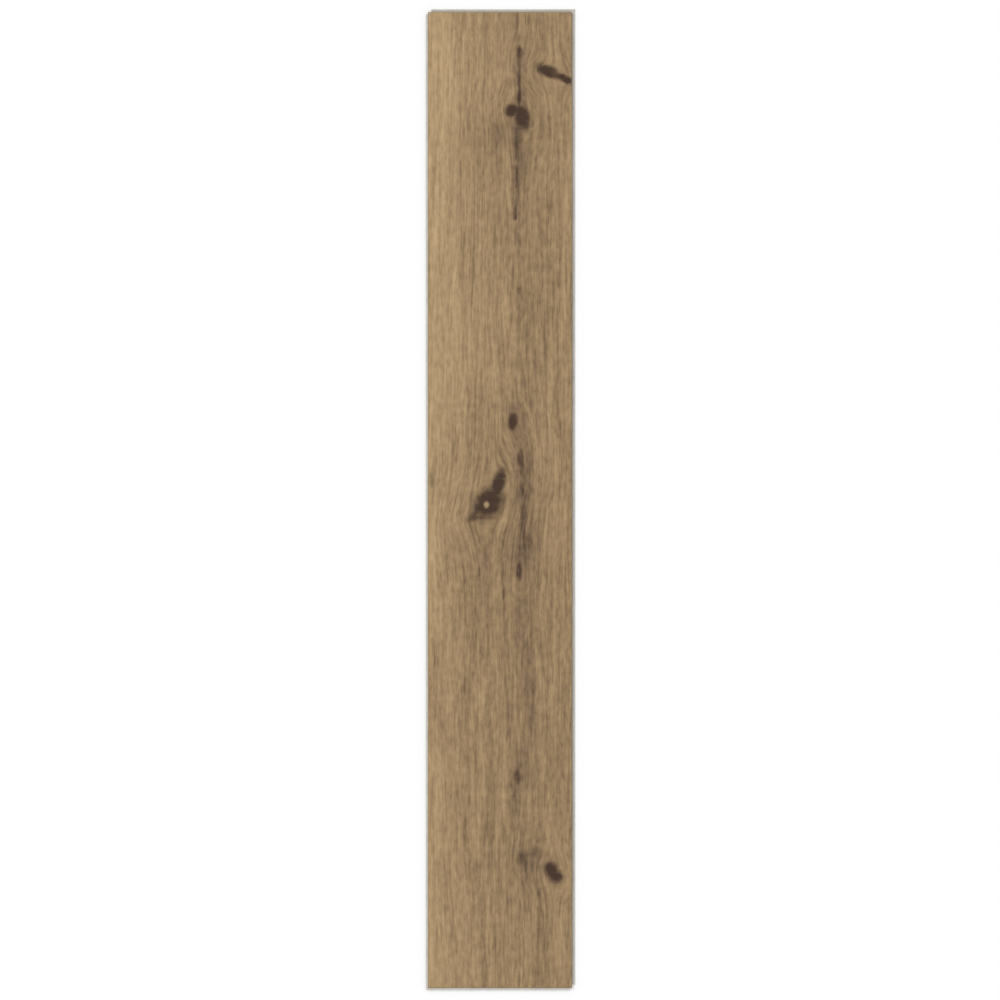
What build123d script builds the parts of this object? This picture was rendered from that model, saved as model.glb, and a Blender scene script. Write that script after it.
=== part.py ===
"""Rigid core vinyl plank: one wood-look floor plank, lying face up, with a click-lock joint milled on all four edges.

Millimetres. +Z is up through the printed face, +Y runs along the plank and +X across it. The origin is on the underside,
below the middle of the face. The left and near edges carry the tongue, and the right and far edges carry the groove
with its locking lip, so that planks laid one face width or one face length apart lock together.
"""

import os
from math import radians, sqrt, tan

from build123d import *

# The plank as it is laid
FACE_WIDTH = 180.0
FACE_LENGTH = 1220.0
THICKNESS = 5.0
BEVEL = 0.5  # each leg of the small bevel round the face

# Groove side of the joint
UPPER_LIP = 1.6  # wall above the groove
LOWER_LIP = 1.4  # wall below the groove, at the joint
GROOVE_DEPTH = 2.6
GROOVE_ROOT = 0.95  # height of the groove at its inner end
LOCK_SEAT = 1.3  # flat of the lip between the joint and the foot of the lock
LOCK_RISE = 0.7  # height of the lock above the seat
LOCK_CREST = 0.8  # width of the lock's flat top
LOCK_ANGLE = 50.0  # of the lock's holding face, in degrees above the seat
LIP_RAMP = 1.1  # run of the slope outside the crest, which leads the next plank in
LIP_TIP = 1.0  # thickness of the lip at its end
LIP_CHAMFER = 0.3  # under the lip's end

# Room left for the tongue side, which takes its other sizes from the groove side
CLEARANCE = 0.05  # between faces that seat on each other
TIP_ROOM = 0.2  # past the tongue's tip
CREST_ROOM = 0.15  # over the lock's crest
LIP_ROOM = 0.3  # past the lip's end

CUTTER_RADIUS = 0.2  # left by the milling cutters in the groove and the undercut
TIP_RADIUS = 0.35  # on the tongue's tip

STOCK_ALLOWANCE = 5.0  # blank left outside the finished edges before milling

# Worked out from the sizes above. In a joint section, 0 across is the line where two faces meet.
HALF_WIDTH = FACE_WIDTH / 2
HALF_LENGTH = FACE_LENGTH / 2
GROOVE_CEILING = THICKNESS - UPPER_LIP
GROOVE_FLOOR = GROOVE_CEILING - GROOVE_ROOT  # at the groove's inner end
CREST_HEIGHT = LOWER_LIP + LOCK_RISE
LOCK_SLOPE = tan(radians(LOCK_ANGLE))
CREST_START = LOCK_SEAT + LOCK_RISE / LOCK_SLOPE
CREST_END = CREST_START + LOCK_CREST
LIP_REACH = CREST_END + LIP_RAMP
UNDERCUT_DEPTH = LIP_REACH + LIP_ROOM
UNDERCUT_ROOF = CREST_HEIGHT + CREST_ROOM
TONGUE_LENGTH = GROOVE_DEPTH - TIP_ROOM

# The groove's floor is an arc that is level at the joint and rises to the groove's inner end, so that a tongue can
# be angled in. The tongue's underside is the same arc, less the clearance.
FLOOR_RISE = GROOVE_FLOOR - LOWER_LIP
FLOOR_RADIUS = (GROOVE_DEPTH**2 + FLOOR_RISE**2) / (2 * FLOOR_RISE)
FLOOR_CENTRE = LOWER_LIP + FLOOR_RADIUS


def floor_arc(joint, start, end, radius):
    """The groove floor or the tongue's underside, between two distances across the joint section."""
    across = (start, (start + end) / 2, end)
    return ThreePointArc(*[(joint + q, FLOOR_CENTRE - sqrt(radius**2 - q**2)) for q in across])


def groove_edge(joint):
    """The groove, its locking lip and the bevel over them, from the face down to the underside."""
    face_to_root = Polyline(
        (joint - BEVEL, THICKNESS),
        (joint, THICKNESS - BEVEL),
        (joint, GROOVE_CEILING),
        (joint - GROOVE_DEPTH, GROOVE_CEILING),
        (joint - GROOVE_DEPTH, GROOVE_FLOOR),
    )
    groove_floor = floor_arc(joint, -GROOVE_DEPTH, 0, FLOOR_RADIUS)
    locking_lip = Polyline(
        (joint, LOWER_LIP),
        (joint + LOCK_SEAT, LOWER_LIP),
        (joint + CREST_START, CREST_HEIGHT),
        (joint + CREST_END, CREST_HEIGHT),
        (joint + LIP_REACH, LIP_TIP),
        (joint + LIP_REACH, LIP_CHAMFER),
        (joint + LIP_REACH - LIP_CHAMFER, 0),
    )
    return [face_to_root, groove_floor, locking_lip]


def tongue_edge(joint):
    """The undercut for the next plank's lip, the tongue and the bevel over it, from the underside up to the face."""
    tongue_radius = FLOOR_RADIUS - CLEARANCE
    tip_bottom = FLOOR_CENTRE - sqrt(tongue_radius**2 - TONGUE_LENGTH**2)
    seat = LOWER_LIP + CLEARANCE
    # The holding face stands off the lock by the clearance, measured square to the slope
    foot = LOCK_SEAT - CLEARANCE * tan(radians(LOCK_ANGLE / 2))
    holding_top = foot + (UNDERCUT_ROOF - seat) / LOCK_SLOPE
    undercut = Polyline(
        (joint + UNDERCUT_DEPTH, 0),
        (joint + UNDERCUT_DEPTH, UNDERCUT_ROOF),
        (joint + holding_top, UNDERCUT_ROOF),
        (joint + foot, seat),
        (joint, seat),
    )
    tongue_underside = floor_arc(joint, 0, -TONGUE_LENGTH, tongue_radius)
    tip_to_face = Polyline(
        (joint - TONGUE_LENGTH, tip_bottom),
        (joint - TONGUE_LENGTH, GROOVE_CEILING - CLEARANCE),
        (joint, GROOVE_CEILING - CLEARANCE),
        (joint, THICKNESS - BEVEL),
        (joint + BEVEL, THICKNESS),
    )
    return [undercut, tongue_underside, tip_to_face]


def rounded(section, corners, radius):
    """The section with its corners at the given points rounded."""
    picked = [section.vertices().sort_by_distance((*corner, 0))[0] for corner in corners]
    return fillet(picked, radius)


def joint_section(half_span):
    """The whole section across the plank, with the tongue at minus half_span and the groove at plus half_span."""
    left, right = -half_span, half_span
    face = Line((left + BEVEL, THICKNESS), (right - BEVEL, THICKNESS))
    underside = Line((right + LIP_REACH - LIP_CHAMFER, 0), (left + UNDERCUT_DEPTH, 0))
    section = make_face([face, *groove_edge(right), underside, *tongue_edge(left)])
    cutter_corners = [
        (right - GROOVE_DEPTH, GROOVE_CEILING),
        (right - GROOVE_DEPTH, GROOVE_FLOOR),
        (left + UNDERCUT_DEPTH, UNDERCUT_ROOF),
    ]
    section = rounded(section, cutter_corners, CUTTER_RADIUS)
    tongue_tip = [(left - TONGUE_LENGTH, GROOVE_CEILING - CLEARANCE), (left - TONGUE_LENGTH, GROOVE_FLOOR)]
    return rounded(section, tongue_tip, TIP_RADIUS)


def block(low, high):
    """A box over the full thickness, between two corners in plan."""
    size = [b - a for a, b in zip(low, high)]
    corner = Pos(low[0], low[1], 0)
    return corner * Box(*size, THICKNESS, align=(Align.MIN, Align.MIN, Align.MIN))


def corner_reliefs():
    """What is cut off at the two corners where a tongue side meets a groove side: the lip where it would cross the
    undercut, and the tongue where it would cross the open end of the groove."""
    end_x = HALF_WIDTH + STOCK_ALLOWANCE
    end_y = HALF_LENGTH + STOCK_ALLOWANCE
    left_far_lip = block((-end_x, HALF_LENGTH), (-HALF_WIDTH + UNDERCUT_DEPTH, end_y))
    left_far_tongue = block((-end_x, HALF_LENGTH - GROOVE_DEPTH), (-HALF_WIDTH, end_y))
    right_near_lip = block((HALF_WIDTH, -end_y), (end_x, -HALF_LENGTH + UNDERCUT_DEPTH))
    right_near_tongue = block((HALF_WIDTH - GROOVE_DEPTH, -end_y), (end_x, -HALF_LENGTH))
    return [left_far_lip, left_far_tongue, right_near_lip, right_near_tongue]


def plank():
    """The blank milled along its long edges, then across its ends, then relieved at the corners."""
    long_edges = extrude(Plane.XZ * joint_section(HALF_WIDTH), HALF_LENGTH + STOCK_ALLOWANCE, both=True)
    ends = extrude(Plane.YZ * joint_section(HALF_LENGTH), HALF_WIDTH + STOCK_ALLOWANCE, both=True)
    return (long_edges & ends) - corner_reliefs()


os.makedirs("parts", exist_ok=True)
export_step(plank(), "parts/plank.step")
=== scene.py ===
"""Looks of a rigid core vinyl plank: an oak print pressed in register with its grain, over a grey core.

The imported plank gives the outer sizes. Its flat face is replaced by a fine grid that carries the pressed
grain. The print's figure (knots, cracks and the flow of the grain round them) is worked out on that grid
and kept as attributes that the materials read. Lengths are metres, apart from the print's own plan, which
is in millimetres on the face.
"""

import math

import bmesh
import bpy
import numpy as np
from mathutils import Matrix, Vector


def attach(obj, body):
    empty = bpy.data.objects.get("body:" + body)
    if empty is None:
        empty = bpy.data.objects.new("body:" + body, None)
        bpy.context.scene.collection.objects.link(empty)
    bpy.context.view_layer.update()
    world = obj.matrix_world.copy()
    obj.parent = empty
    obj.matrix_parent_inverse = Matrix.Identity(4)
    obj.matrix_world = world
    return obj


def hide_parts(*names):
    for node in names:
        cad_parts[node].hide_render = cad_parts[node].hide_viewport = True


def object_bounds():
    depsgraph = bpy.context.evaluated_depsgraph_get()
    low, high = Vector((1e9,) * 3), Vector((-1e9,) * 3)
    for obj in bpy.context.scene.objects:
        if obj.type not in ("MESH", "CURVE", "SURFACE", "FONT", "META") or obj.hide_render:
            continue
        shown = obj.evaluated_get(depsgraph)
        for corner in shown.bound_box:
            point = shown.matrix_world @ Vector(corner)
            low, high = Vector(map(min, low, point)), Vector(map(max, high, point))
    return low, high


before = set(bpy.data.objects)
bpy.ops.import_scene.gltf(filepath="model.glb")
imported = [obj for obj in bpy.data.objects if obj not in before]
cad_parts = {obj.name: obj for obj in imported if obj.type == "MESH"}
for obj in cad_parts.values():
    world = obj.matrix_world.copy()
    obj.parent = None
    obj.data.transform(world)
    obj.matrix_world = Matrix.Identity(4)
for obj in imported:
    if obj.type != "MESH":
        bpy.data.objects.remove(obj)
CAD_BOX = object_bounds()
NODE = "plank"
MM = 0.001

# Grid on the face: cells across and along the plank
COLUMNS, ROWS = 190, 500

# Pressed grain
PORE_DEPTH = 0.11 * MM
KNOT_DEPTH = 0.10 * MM
PRESS_MARGIN = 2.5  # mm from the face's rim over which the pressing fades out

# Knots and flecks of the print: place on the face, half width, half length (mm), tilt (degrees), darkness
KNOTS = [
    (14.0, 487, 8.5, 8.0, 20, 1.00),
    (28.0, 478, 9.5, 15.0, 14, 1.00),
    (24.0, 452, 6.0, 14.0, 0, 0.45),
    (24.0, 560, 4.0, 9.0, 0, 0.70),
    (60.0, 536, 16.0, 7.0, -22, 1.00),
    (82.0, 526, 13.0, 5.0, -24, 0.92),
    (24.0, 262, 3.0, 6.0, 0, 0.60),
    (16.0, 98, 5.5, 11.0, -6, 0.98),
    (-86.0, 25, 5.0, 12.0, 0, 0.40),
    (-14.0, -4, 16.5, 22.0, -35, 1.00),
    (-2.0, 20, 8.0, 19.0, -16, 0.98),
    (-31.0, -20, 12.0, 6.0, 30, 0.66),
    (25.0, 51, 4.5, 10.0, 0, 0.62),
    (30.0, -19, 4.5, 17.0, 4, 0.50),
    (37.0, -52, 4.5, 15.0, 6, 0.52),
    (24.0, -88, 3.8, 11.0, 0, 0.72),
    (41.0, -236, 5.0, 14.0, 0, 0.42),
    (21.0, -346, 5.5, 10.0, 0, 0.64),
    (28.0, -447, 7.0, 11.0, 0, 0.52),
    (44.0, -440, 8.0, 9.0, 0, 0.44),
    (64.0, -463, 8.0, 11.0, 30, 1.00),
    (70.0, -470, 9.0, 8.0, -20, 1.00),
]

# Cracks and dark lines: start and end on the face (mm), half width (mm), darkness
CRACKS = [
    ((24.0, 562), (25.0, 492), 2.0, 0.74),
    ((21.5, 448), (20.5, 426), 2.0, 0.60),
    ((20.5, 417), (19.5, 352), 2.1, 0.80),
    ((22.0, 330), (24.0, 215), 2.4, 0.24),
    ((25.0, 205), (16.0, 110), 2.6, 0.26),
    ((16.0, 90), (18.0, 30), 3.0, 0.26),
    ((27.0, 62), (32.0, -80), 2.2, 0.50),
    ((39.0, 140), (40.0, -60), 2.8, 0.34),
    ((26.0, -60), (24.0, -100), 1.8, 0.50),
    ((38.0, -110), (40.0, -290), 2.2, 0.26),
    ((50.0, -400), (65.0, -455), 2.6, 0.40),
    ((48.0, -487), (47.0, -606), 2.4, 0.34),
]

# Broad shades of the print: place, half width, half length (mm), shade (negative is darker)
SHADES = [
    (-88, 0, 36, 900, 0.50),
    (27, 0, 15, 900, -0.36),
    (85, 0, 28, 900, 0.26),
    (-72, 520, 40, 170, 0.45),
    (-70, 300, 30, 260, 0.20),
    (-62, 150, 30, 120, 0.35),
    (-30, 455, 40, 40, -0.35),
    (0, 458, 17, 20, -0.70),
    (23, 470, 8, 140, -0.60),
    (28, -20, 10, 105, -0.75),
    (36, -230, 26, 170, -0.22),
    (36, -454, 17, 28, -0.85),
    (-35, -30, 50, 230, -0.50),
    (-20, -420, 40, 110, -0.35),
    (60, -230, 30, 120, -0.40),
    (-84, -240, 26, 110, -0.45),
    (48, -550, 6, 60, -0.50),
]

# Pale spots of the print: place, half width, half length (mm), strength
PALE_SPOTS = [
    (-17.0, -6, 4.0, 5.5, 0.85),
    (-17.0, -42, 5.0, 22.0, 0.40),
    (-42.0, 20, 14.0, 16.0, 0.35),
    (24.0, 152, 2.6, 4.5, 0.90),
    (75.0, 520, 6.0, 3.5, 0.90),
]

# How far the grain is pushed aside by a knot, and how far that reaches, in knot sizes
GRAIN_PUSH = 0.55
PUSH_REACH = (2.4, 3.0)

# Wandering of the grain: reach, size across, size along (mm), seed
GRAIN_WANDER = [(9, 75, 330, 1), (3, 25, 120, 2)]

# Soft edges of the figure, in half sizes: full strength up to the first, none past the second
KNOT_EDGE = (0.25, 1.75)
CRACK_EDGE = (0.2, 2.2)
PALE_EDGE = (0.3, 1.4)

# Cracks wander sideways and fade in and out along their length (mm)
CRACK_WANDER, CRACK_WANDER_LENGTH, CRACK_WANDER_SEED = 2.2, 26, 5
CRACK_LEAST, CRACK_CHANGE = 0.30, 1.00
CRACK_CHANGE_SIZE, CRACK_CHANGE_SEED = (40, 12), 8

# The print gets darker to the right, and pale spots lighten it
SHADE_SLOPE = -0.28
HALF_FACE = 90  # mm, to the side of the face
PALE_SHADE = 0.6

# Pressed pores: size across and along (mm), seed, noise levels at which they begin and are deepest, depth
PORE_KINDS = [(1.9, 46, 3, 0.66, 0.95, 1.0), (1.4, 17, 4, 0.72, 0.97, 0.7)]
KNOT_PRESS = (0.45, 0.9)  # darkness at which a knot starts to be pressed in, and is at full depth

# The piece's surfaces, in the order of its materials
DECOR, EDGE_PAINT, CORE, BACK = range(4)
WELD = 0.002 * MM
FLAT_ANGLE = 0.2  # degrees within which neighbouring triangles are one flat face
LEVEL_TOLERANCE = 0.01 * MM
RIM_TOLERANCE = 0.001 * MM
LEVEL_FACING = 0.99  # least upward share of a level face's direction
BEVEL_FACING = (0.5, 0.9)
BEVEL_LEVEL = CAD_BOX[1].z - 0.6 * MM
NOISE_TABLE = 256

# Shares of the texture's height given to each half of the print and to the other surfaces
MAP_MARGIN = 0.004
STRIP_BANDS = [(0.004, 0.424), (0.434, 0.854)]
OTHER_BANDS = {BACK: (0.864, 0.912), EDGE_PAINT: (0.922, 0.942), CORE: (0.952, 0.996)}

# Picture: the photo is square and shows the face at 1.25 mm to the pixel
PICTURE_SIZE = 1250 * MM
SENSOR, LENS = 36.0, 200.0

# Light
WORLD_LEVEL = 0.80
SUN_LEVEL = 1.10
SUN_SPREAD = 40.0
SUN_TURN = (-22.0, -30.0, 0.0)
FLOOR_SIZE = 12.0
FLOOR_GAP = 0.02 * MM
FLOOR_WHITE = 0.80
FLOOR_LIFT = 0.14


def lattice_noise(across, along, seed):
    """Smooth noise from 0 to 1 on a seeded lattice with a unit step."""
    table = np.random.default_rng(seed).random((NOISE_TABLE, NOISE_TABLE))
    column, row = np.floor(across).astype(int), np.floor(along).astype(int)
    s, t = across - column, along - row
    s, t = s * s * (3 - 2 * s), t * t * (3 - 2 * t)

    def corner(i, j):
        return table[(column + i) % NOISE_TABLE, (row + j) % NOISE_TABLE]

    near = corner(0, 0) * (1 - s) + corner(1, 0) * s
    far = corner(0, 1) * (1 - s) + corner(1, 1) * s
    return near * (1 - t) + far * t


def smooth_step(low, high, value):
    """0 below low, 1 above high and smooth between."""
    t = np.clip((value - low) / (high - low), 0, 1)
    return t * t * (3 - 2 * t)


def knot_offset(x, y, knot):
    """Each point's place in a knot's own axes, in millimetres."""
    at_x, at_y, _, _, tilt, _ = knot
    turn = math.radians(tilt)
    dx, dy = x - at_x, y - at_y
    return dx * math.cos(turn) + dy * math.sin(turn), dy * math.cos(turn) - dx * math.sin(turn)


def pale_spots(x, y):
    """How far the pale spots lighten each point, from 0 to 1."""
    pale = np.zeros_like(x)
    for at_x, at_y, half_width, half_length, strength in PALE_SPOTS:
        reach = np.hypot((x - at_x) / half_width, (y - at_y) / half_length)
        pale = np.maximum(pale, strength * (1 - smooth_step(*PALE_EDGE, reach)))
    return pale


def knot_figure(x, y):
    """How dark the knots and cracks make each point, from 0 to 1."""
    dark = np.zeros_like(x)
    for knot in KNOTS:
        _, _, half_width, half_length, _, strength = knot
        across, along = knot_offset(x, y, knot)
        reach = np.hypot(across / half_width, along / half_length)
        dark = np.maximum(dark, strength * (1 - smooth_step(*KNOT_EDGE, reach)))
    for start, end, half_width, strength in CRACKS:
        start, end = np.array(start, float), np.array(end, float)
        line = end - start
        share = np.clip(((x - start[0]) * line[0] + (y - start[1]) * line[1]) / (line @ line), 0, 1)
        sideways = lattice_noise(y / CRACK_WANDER_LENGTH, np.zeros_like(y), CRACK_WANDER_SEED)
        wander = CRACK_WANDER * (sideways - 0.5)
        away = np.hypot(x - start[0] - share * line[0] - wander, y - start[1] - share * line[1])
        change = lattice_noise(x / CRACK_CHANGE_SIZE[0], y / CRACK_CHANGE_SIZE[1], CRACK_CHANGE_SEED)
        broken = CRACK_LEAST + CRACK_CHANGE * change
        dark = np.maximum(dark, strength * broken * (1 - smooth_step(*CRACK_EDGE, away / half_width)))
    return dark * (1 - pale_spots(x, y))


def grain_line(x, y):
    """Where across the tree each point's fibre runs (mm): the grain wanders and parts round the knots."""
    line = x.copy()
    for reach, across, along, seed in GRAIN_WANDER:
        line += reach * (lattice_noise(x / across, y / along, seed) - 0.5)
    for knot in KNOTS:
        _, _, half_width, half_length, _, strength = knot
        across, along = knot_offset(x, y, knot)
        reach_across, reach_along = PUSH_REACH[0] * half_width, PUSH_REACH[1] * half_length
        near = np.exp(-((across / reach_across) ** 2) - (along / reach_along) ** 2)
        line -= GRAIN_PUSH * strength * near * (x - knot[0])
    return line


def broad_shade(x, y):
    """Slow changes of shade over the face, lighter to the left as the print is."""
    shade = SHADE_SLOPE * x / HALF_FACE + PALE_SHADE * pale_spots(x, y)
    for at_x, at_y, half_width, half_length, step in SHADES:
        shade += step * np.exp(-(((x - at_x) / half_width) ** 2) - ((y - at_y) / half_length) ** 2)
    return shade


def pressed_pores(line, y):
    """Depth of the pressed grain, from 0 to 1: long narrow pores that follow the fibres."""
    depth = np.zeros_like(line)
    for across, along, seed, begins, deepest, share in PORE_KINDS:
        depth += share * smooth_step(begins, deepest, lattice_noise(line / across, y / along, seed))
    return np.clip(depth, 0, 1)


def face_of(bm):
    """The printed face: the highest flat face of the plank."""
    level = [f for f in bm.faces if f.normal.z > LEVEL_FACING]
    return max(level, key=lambda f: (f.calc_center_median().z, f.calc_area()))


def split_rim(bm, face):
    """Divides the face's four edges to match the grid, takes the face out and returns its corners."""
    low = Vector(min(v.co[i] for v in face.verts) for i in range(3))
    high = Vector(max(v.co[i] for v in face.verts) for i in range(3))
    across, along = [], []
    for edge in face.edges:
        run = edge.verts[1].co - edge.verts[0].co
        (across if abs(run.x) > abs(run.y) else along).append(edge)
    bmesh.ops.delete(bm, geom=[face], context="FACES_ONLY")
    bmesh.ops.subdivide_edges(bm, edges=across, cuts=COLUMNS - 1)
    bmesh.ops.subdivide_edges(bm, edges=along, cuts=ROWS - 1)
    return low, high


def lay_grid(bm, low, high, slot):
    """Fills the opening with the grid, on the rim's own vertices at its edges."""
    step = Vector(((high.x - low.x) / COLUMNS, (high.y - low.y) / ROWS))
    rim = {}
    for vertex in {v for e in bm.edges if e.is_boundary for v in e.verts}:
        rim[round((vertex.co.x - low.x) / step.x), round((vertex.co.y - low.y) / step.y)] = vertex
    grid = {}
    for i in range(COLUMNS + 1):
        for j in range(ROWS + 1):
            at = (low.x + i * step.x, low.y + j * step.y, high.z)
            grid[i, j] = rim.get((i, j)) or bm.verts.new(at)
    for i in range(COLUMNS):
        for j in range(ROWS):
            cell = bm.faces.new((grid[i, j], grid[i + 1, j], grid[i + 1, j + 1], grid[i, j + 1]))
            cell.smooth = True
            cell.material_index = slot


def write_points(mesh, name, kind, values):
    """Stores one value for each vertex, for the materials to read."""
    field = "vector" if kind == "FLOAT_VECTOR" else "value"
    stored = mesh.attributes.new(name, kind, "POINT")
    stored.data.foreach_set(field, np.asarray(values, np.float32).ravel())


def draw_figure(mesh, high):
    """Works out the print's figure on the vertices and presses the grain into the face."""
    place = np.empty(len(mesh.vertices) * 3)
    mesh.vertices.foreach_get("co", place)
    place = place.reshape(-1, 3)
    x, y = place[:, 0] / MM, place[:, 1] / MM
    line, dark = grain_line(x, y), knot_figure(x, y)
    pores = pressed_pores(line, y)
    from_rim = np.minimum(high.x / MM - np.abs(x), high.y / MM - np.abs(y))
    on_face = (place[:, 2] > high.z - RIM_TOLERANCE) * smooth_step(0, PRESS_MARGIN, from_rim)
    place[:, 2] -= on_face * (PORE_DEPTH * pores + KNOT_DEPTH * smooth_step(*KNOT_PRESS, dark))
    mesh.vertices.foreach_set("co", place.ravel())
    write_points(mesh, "grain", "FLOAT_VECTOR", np.stack([line, y, np.zeros_like(y)], 1))
    write_points(mesh, "dark", "FLOAT", dark)
    write_points(mesh, "pores", "FLOAT", pores * on_face)
    write_points(mesh, "shade", "FLOAT", broad_shade(x, y))


def part_faces(bm):
    """Gives each face outside the grid its surface: painted bevel, milled core or back."""
    underside = min(v.co.z for v in bm.verts)
    for face in bm.faces:
        level = face.calc_center_median().z
        if face.normal.z < -LEVEL_FACING and level < underside + LEVEL_TOLERANCE:
            face.material_index = BACK
        elif BEVEL_FACING[0] < face.normal.z < BEVEL_FACING[1] and level > BEVEL_LEVEL:
            face.material_index = EDGE_PAINT
        else:
            face.material_index = CORE


def along_face(values, low, high):
    """Values turned into shares of the way from low to high."""
    return (values - low) / max(high - low, RIM_TOLERANCE)


def lay_map(mesh, low, high):
    """The texture's map: the print as two strips over most of it, then bands for back, paint and core.

    Core faces all share one band, as they look alike, and each is spread over the band's full height.
    """
    layer = mesh.uv_layers.new(name="OFBake")
    for face in mesh.polygons:
        corners = np.array([mesh.vertices[v].co for v in face.vertices])
        kind = face.material_index
        if kind == DECOR:
            strip = 0 if face.center.y < 0 else 1
            start = low.y if strip == 0 else 0.0
            u = along_face(corners[:, 1], start, start + high.y)
            v = along_face(corners[:, 0], low.x, high.x)
            bottom, top = STRIP_BANDS[strip]
        else:
            spans = np.ptp(corners, axis=0)
            long_way = int(np.argmax(spans))
            thin_way = int(np.argsort(spans)[1])
            whole = (CAD_BOX[0][long_way], CAD_BOX[1][long_way])
            u = along_face(corners[:, long_way], *whole)
            thin = corners[:, thin_way]
            v = along_face(thin, thin.min(), thin.max())
            bottom, top = OTHER_BANDS[kind]
        places = np.stack([MAP_MARGIN + u * (1 - 2 * MAP_MARGIN), bottom + v * (top - bottom)], 1)
        for loop, place in zip(face.loop_indices, places):
            layer.data[loop].uv = place


def linear(*levels):
    """A colour given as the 0 to 255 levels of a picture, as the shaders take it."""
    share = [level / 255 for level in levels]
    return tuple(c / 12.92 if c <= 0.04045 else ((c + 0.055) / 1.055) ** 2.4 for c in share) + (1.0,)


class Shader:
    """A material's nodes, with short calls for the few kinds used here."""

    def __init__(self, name):
        self.material = bpy.data.materials.new(name)
        self.material.use_nodes = True
        self.tree = self.material.node_tree
        self.surface = self.tree.nodes["Principled BSDF"]

    def put(self, socket, value):
        """Links another node's output to a socket, or sets a plain value on it."""
        if isinstance(value, bpy.types.NodeSocket):
            self.tree.links.new(value, socket)
        else:
            socket.default_value = value

    def set(self, **values):
        """Sets the surface's inputs; an underscore stands for a space."""
        for name, value in values.items():
            self.put(self.surface.inputs[name.replace("_", " ")], value)

    def attribute(self, name, output):
        node = self.tree.nodes.new("ShaderNodeAttribute")
        node.attribute_name = name
        return node.outputs[output]

    def millimetres(self):
        """The object's own coordinates, in millimetres."""
        return self.stretch(self.tree.nodes.new("ShaderNodeTexCoord").outputs["Object"], (MM, MM, MM))

    def stretch(self, place, size):
        """Coordinates divided by a size, so that one unit of noise measures that size."""
        node = self.tree.nodes.new("ShaderNodeVectorMath")
        node.operation = "MULTIPLY"
        self.put(node.inputs[0], place)
        node.inputs[1].default_value = [1 / s for s in size]
        return node.outputs["Vector"]

    def noise(self, place, size, detail=2.0, seed=0.0):
        """Noise from 0 to 1 with features of about the given size, in millimetres."""
        node = self.tree.nodes.new("ShaderNodeTexNoise")
        node.noise_dimensions = "4D"
        self.put(node.inputs["Vector"], self.stretch(place, size))
        node.inputs["W"].default_value = seed
        node.inputs["Scale"].default_value = 1.0
        node.inputs["Detail"].default_value = detail
        return node.outputs["Fac"]

    def math(self, operation, first, second):
        node = self.tree.nodes.new("ShaderNodeMath")
        node.operation = operation
        self.put(node.inputs[0], first)
        self.put(node.inputs[1], second)
        return node.outputs["Value"]

    def total(self, start, *parts):
        """A start value with each (value, gain) added to it."""
        for value, gain in parts:
            start = self.math("ADD", self.math("MULTIPLY", value, gain), start)
        return start

    def remap(self, value, low, high, to_low, to_high):
        node = self.tree.nodes.new("ShaderNodeMapRange")
        node.interpolation_type = "SMOOTHSTEP"
        names = ("Value", "From Min", "From Max", "To Min", "To Max")
        for name, given in zip(names, (value, low, high, to_low, to_high)):
            self.put(node.inputs[name], given)
        return node.outputs["Result"]

    def ramp(self, value, stops):
        """Colours by value, from a list of (place, colour)."""
        node = self.tree.nodes.new("ShaderNodeValToRGB")
        colours = node.color_ramp.elements
        for place, colour in stops[1:-1]:
            colours.new(place).color = colour
        last = len(stops) - 1
        colours[0].position, colours[0].color = stops[0]
        colours[last].position, colours[last].color = stops[last]
        self.put(node.inputs["Fac"], value)
        return node.outputs["Color"]

    def mix(self, share, first, second):
        node = self.tree.nodes.new("ShaderNodeMix")
        node.data_type = "RGBA"
        for socket, value in zip((node.inputs[0], node.inputs[6], node.inputs[7]), (share, first, second)):
            self.put(socket, value)
        return node.outputs[2]

    def bump(self, height, depth):
        """Fine relief of the given depth, in metres."""
        node = self.tree.nodes.new("ShaderNodeBump")
        node.inputs["Distance"].default_value = depth
        self.put(node.inputs["Height"], height)
        self.put(self.surface.inputs["Normal"], node.outputs["Normal"])


# Colours of the print and the other surfaces
PRINT_LEVEL = -0.93
WOOD_TONES = [
    (0.00, linear(90, 70, 50)),
    (0.30, linear(127, 103, 74)),
    (0.50, linear(147, 121, 87)),
    (0.70, linear(163, 136, 99)),
    (1.00, linear(184, 156, 117)),
]
KNOT_TONE = linear(60, 39, 22)
PAINT_TONES = [(0.3, linear(112, 92, 69)), (0.7, linear(132, 110, 83))]
CORE_TONES = [(0.32, linear(176, 171, 162)), (0.68, linear(208, 203, 194))]
BACK_TONES = [(0.32, linear(158, 154, 147)), (0.68, linear(182, 178, 170))]

# Noises of the materials: size (mm; in the print across, along and through the grain), detail, seed
FIBRES = ((0.8, 26, 1), 2.0, 1.0)
STREAKS = ((3.2, 44, 1), 3.0, 2.0)
BANDS = ((9, 150, 1), 2.0, 3.0)
DRIFT = ((34, 300, 1), 2.0, 4.0)
TICKS = ((1.6, 9, 1), 1.0, 5.0)
RAGGED = ((3.2, 7, 1), 3.0, 6.0)
UNEVEN_PAINT = ((6, 6, 2), 2.0, 7.0)
SPECKLE = ((0.35, 0.35, 0.35), 2.0, 8.0)
CORE_CLOUD = ((14, 14, 3), 2.0, 9.0)
ROLLER_LINES = ((1.2, 180, 1), 2.0, 10.0)
BACK_CLOUD = ((40, 40, 40), 2.0, 11.0)
MOTTLE = ((5, 11, 1), 3.0, 12.0)

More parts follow.
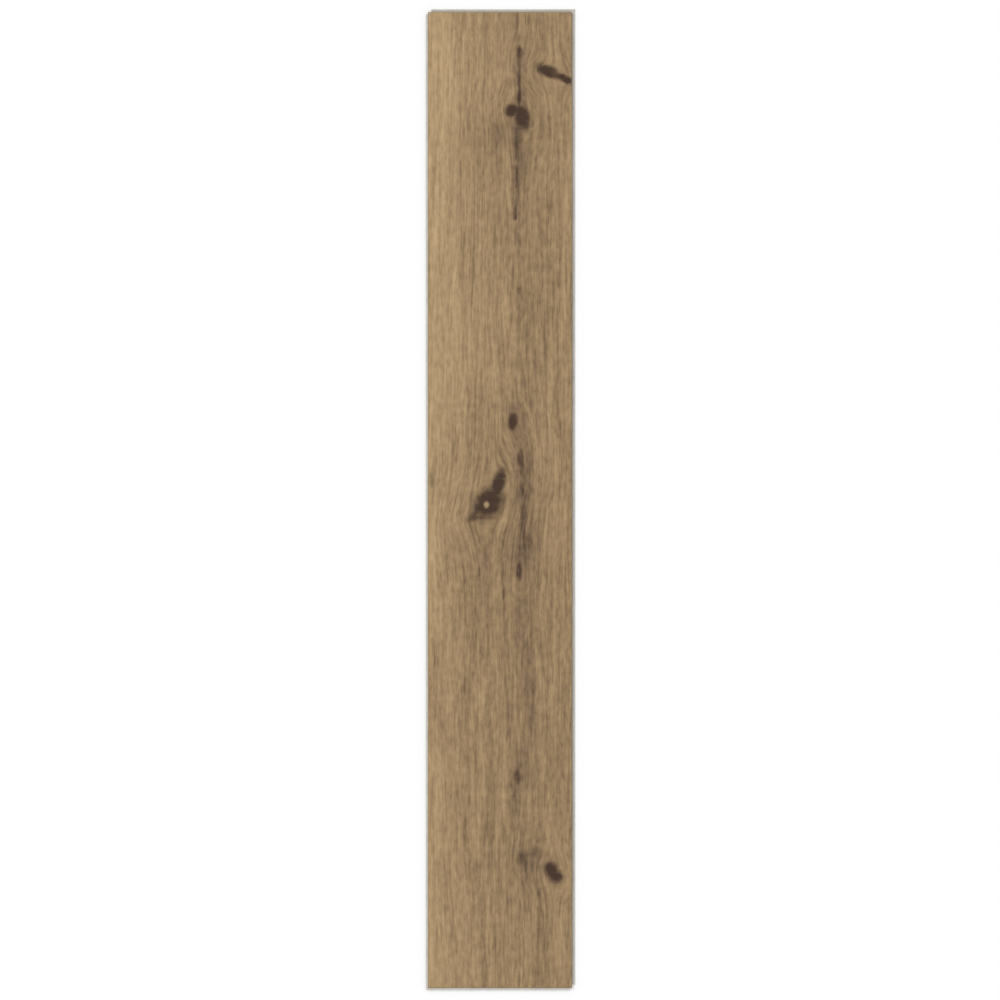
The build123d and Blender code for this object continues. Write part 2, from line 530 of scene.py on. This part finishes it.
# How far each noise or attribute lightens the print
FIBRE_GAIN, STREAK_GAIN, MOTTLE_GAIN, BAND_GAIN, DRIFT_GAIN = 0.42, 0.74, 0.75, 0.62, 0.40
TICK_GAIN, PORE_GAIN, SHADE_GAIN = -0.12, -0.15, 0.24
TICK_RANGE = (0.60, 0.78)  # noise levels between which a tick appears
KNOT_RANGE = (0.04, 0.90)  # darkness at which the knots' tone begins and is full
KNOT_LEAST, KNOT_RAGGED = 0.3, 1.4  # a knot's darkness where it is palest, and how far that changes
SPECKLE_SHARE, LINE_SHARE = 0.6, 0.5  # of the core's and the back's shade, the rest being clouds

# Roughness: least, and how much a noise or the pores add
PRINT_ROUGHNESS, PORE_ROUGHNESS, FIBRE_ROUGHNESS = 0.46, 0.14, 0.12
PAINT_ROUGHNESS, UNEVEN_ROUGHNESS = 0.48, 0.14
CORE_ROUGHNESS, BACK_ROUGHNESS, GRIT_ROUGHNESS = 0.66, 0.55, 0.2
MATT_GLOSS = 0.3  # mirror strength of the matt wear layer, where a glossy vinyl would be 0.5
FIBRE_DEPTH = 0.04 * MM
CORE_DEPTH = 0.05 * MM


def wood_print(shader):
    """The oak print: streaks along the fibres over slow changes of shade, with darker pores."""
    grain = shader.attribute("grain", "Vector")
    fibres = shader.noise(grain, *FIBRES)
    streaks = shader.noise(grain, *STREAKS)
    bands = shader.noise(grain, *BANDS)
    drift = shader.noise(grain, *DRIFT)
    mottle = shader.noise(grain, *MOTTLE)
    ticks = shader.remap(shader.noise(grain, *TICKS), *TICK_RANGE, 0.0, 1.0)
    level = shader.total(
        PRINT_LEVEL,
        (fibres, FIBRE_GAIN),
        (streaks, STREAK_GAIN),
        (mottle, MOTTLE_GAIN),
        (bands, BAND_GAIN),
        (drift, DRIFT_GAIN),
        (ticks, TICK_GAIN),
        (shader.attribute("pores", "Fac"), PORE_GAIN),
        (shader.attribute("shade", "Fac"), SHADE_GAIN),
    )
    return grain, fibres, shader.ramp(level, WOOD_TONES)


def decor_material():
    """The printed face under its clear matt wear layer."""
    shader = Shader("oak_print")
    grain, fibres, wood = wood_print(shader)
    ragged = shader.total(KNOT_LEAST, (shader.noise(grain, *RAGGED), KNOT_RAGGED))
    dark = shader.math("MULTIPLY", shader.attribute("dark", "Fac"), ragged)
    knots = shader.remap(dark, *KNOT_RANGE, 0.0, 1.0)
    pores = shader.attribute("pores", "Fac")
    shader.set(
        Base_Color=shader.mix(knots, wood, KNOT_TONE),
        Roughness=shader.total(PRINT_ROUGHNESS, (pores, PORE_ROUGHNESS), (fibres, FIBRE_ROUGHNESS)),
        Specular_IOR_Level=MATT_GLOSS,
    )
    shader.bump(fibres, FIBRE_DEPTH)
    return shader.material


def edge_paint_material():
    """The bevel, painted a little darker than the print."""
    shader = Shader("bevel_paint")
    place = shader.millimetres()
    uneven = shader.noise(place, *UNEVEN_PAINT)
    shader.set(
        Base_Color=shader.ramp(uneven, PAINT_TONES),
        Roughness=shader.total(PAINT_ROUGHNESS, (uneven, UNEVEN_ROUGHNESS)),
    )
    return shader.material


def core_material():
    """The milled stone-filled core: pale grey, speckled with filler."""
    shader = Shader("mineral_core")
    place = shader.millimetres()
    speckle = shader.noise(place, *SPECKLE)
    cloud = shader.noise(place, *CORE_CLOUD)
    level = shader.total(0.0, (speckle, SPECKLE_SHARE), (cloud, 1 - SPECKLE_SHARE))
    shader.set(
        Base_Color=shader.ramp(level, CORE_TONES),
        Roughness=shader.total(CORE_ROUGHNESS, (speckle, GRIT_ROUGHNESS)),
    )
    shader.bump(speckle, CORE_DEPTH)
    return shader.material


def back_material():
    """The underside: the same core, rolled smooth, with faint lines from the line's rollers."""
    shader = Shader("plain_back")
    place = shader.millimetres()
    lines = shader.noise(place, *ROLLER_LINES)
    cloud = shader.noise(place, *BACK_CLOUD)
    level = shader.total(0.0, (lines, LINE_SHARE), (cloud, 1 - LINE_SHARE))
    shader.set(
        Base_Color=shader.ramp(level, BACK_TONES),
        Roughness=shader.total(BACK_ROUGHNESS, (lines, GRIT_ROUGHNESS)),
    )
    shader.bump(lines, CORE_DEPTH)
    return shader.material


def printed_plank(node):
    """The plank as it is seen, with its pressed and printed face. Returns the face's level."""
    bm = bmesh.new()
    bm.from_mesh(node.data)
    bmesh.ops.remove_doubles(bm, verts=bm.verts, dist=WELD)
    bmesh.ops.dissolve_limit(bm, angle_limit=math.radians(FLAT_ANGLE), verts=bm.verts, edges=bm.edges)
    bm.normal_update()
    part_faces(bm)
    low, high = split_rim(bm, face_of(bm))
    lay_grid(bm, low, high, DECOR)
    mesh = bpy.data.meshes.new("printed_plank")
    bm.to_mesh(mesh)
    bm.free()
    for material in (decor_material(), edge_paint_material(), core_material(), back_material()):
        mesh.materials.append(material)
    lay_map(mesh, low, high)
    draw_figure(mesh, high)
    piece = bpy.data.objects.new("printed_plank", mesh)
    bpy.context.scene.collection.objects.link(piece)
    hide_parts(NODE)
    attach(piece, "root")
    return high.z


def white_floor():
    """A white floor that keeps the plank's soft shadow."""
    bpy.ops.mesh.primitive_plane_add(size=FLOOR_SIZE, location=(0, 0, -FLOOR_GAP))
    floor = bpy.context.object
    floor.name = "floor"
    material = bpy.data.materials.new("white_floor")
    material.use_nodes = True
    tree = material.node_tree
    tree.nodes.remove(tree.nodes["Principled BSDF"])
    kinds = ("BsdfDiffuse", "Emission", "AddShader", "LightPath", "Math")
    paper, lift, both, path, share = (tree.nodes.new("ShaderNode" + kind) for kind in kinds)
    paper.inputs["Color"].default_value = (FLOOR_WHITE, FLOOR_WHITE, FLOOR_WHITE, 1)
    share.operation = "MULTIPLY"
    share.inputs[1].default_value = FLOOR_LIFT
    tree.links.new(path.outputs["Is Camera Ray"], share.inputs[0])
    tree.links.new(share.outputs["Value"], lift.inputs["Strength"])
    tree.links.new(paper.outputs["BSDF"], both.inputs[0])
    tree.links.new(lift.outputs["Emission"], both.inputs[1])
    tree.links.new(both.outputs["Shader"], tree.nodes["Material Output"].inputs["Surface"])
    floor.data.materials.append(material)


def light_scene():
    """Even white surroundings and one broad soft sun from the upper left."""
    world = bpy.data.worlds.new("surroundings")
    world.use_nodes = True
    world.node_tree.nodes["Background"].inputs["Color"].default_value = (1, 1, 1, 1)
    world.node_tree.nodes["Background"].inputs["Strength"].default_value = WORLD_LEVEL
    bpy.context.scene.world = world
    sun = bpy.data.lights.new("soft_sun", "SUN")
    sun.energy = SUN_LEVEL
    sun.angle = math.radians(SUN_SPREAD)
    lamp = bpy.data.objects.new("soft_sun", sun)
    lamp.rotation_euler = [math.radians(a) for a in SUN_TURN]
    bpy.context.scene.collection.objects.link(lamp)


def place_camera(face_level):
    """Straight down on the middle of the face, with the picture's height set on the face's own level."""
    camera = bpy.data.cameras.new("camera")
    camera.sensor_width, camera.lens = SENSOR, LENS
    eye = bpy.data.objects.new("camera", camera)
    eye.location = (0, 0, face_level + PICTURE_SIZE * LENS / SENSOR)
    bpy.context.scene.collection.objects.link(eye)
    bpy.context.scene.camera = eye


bpy.context.scene.view_settings.view_transform = "Standard"
face_level = printed_plank(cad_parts[NODE])
white_floor()
light_scene()
place_camera(face_level)
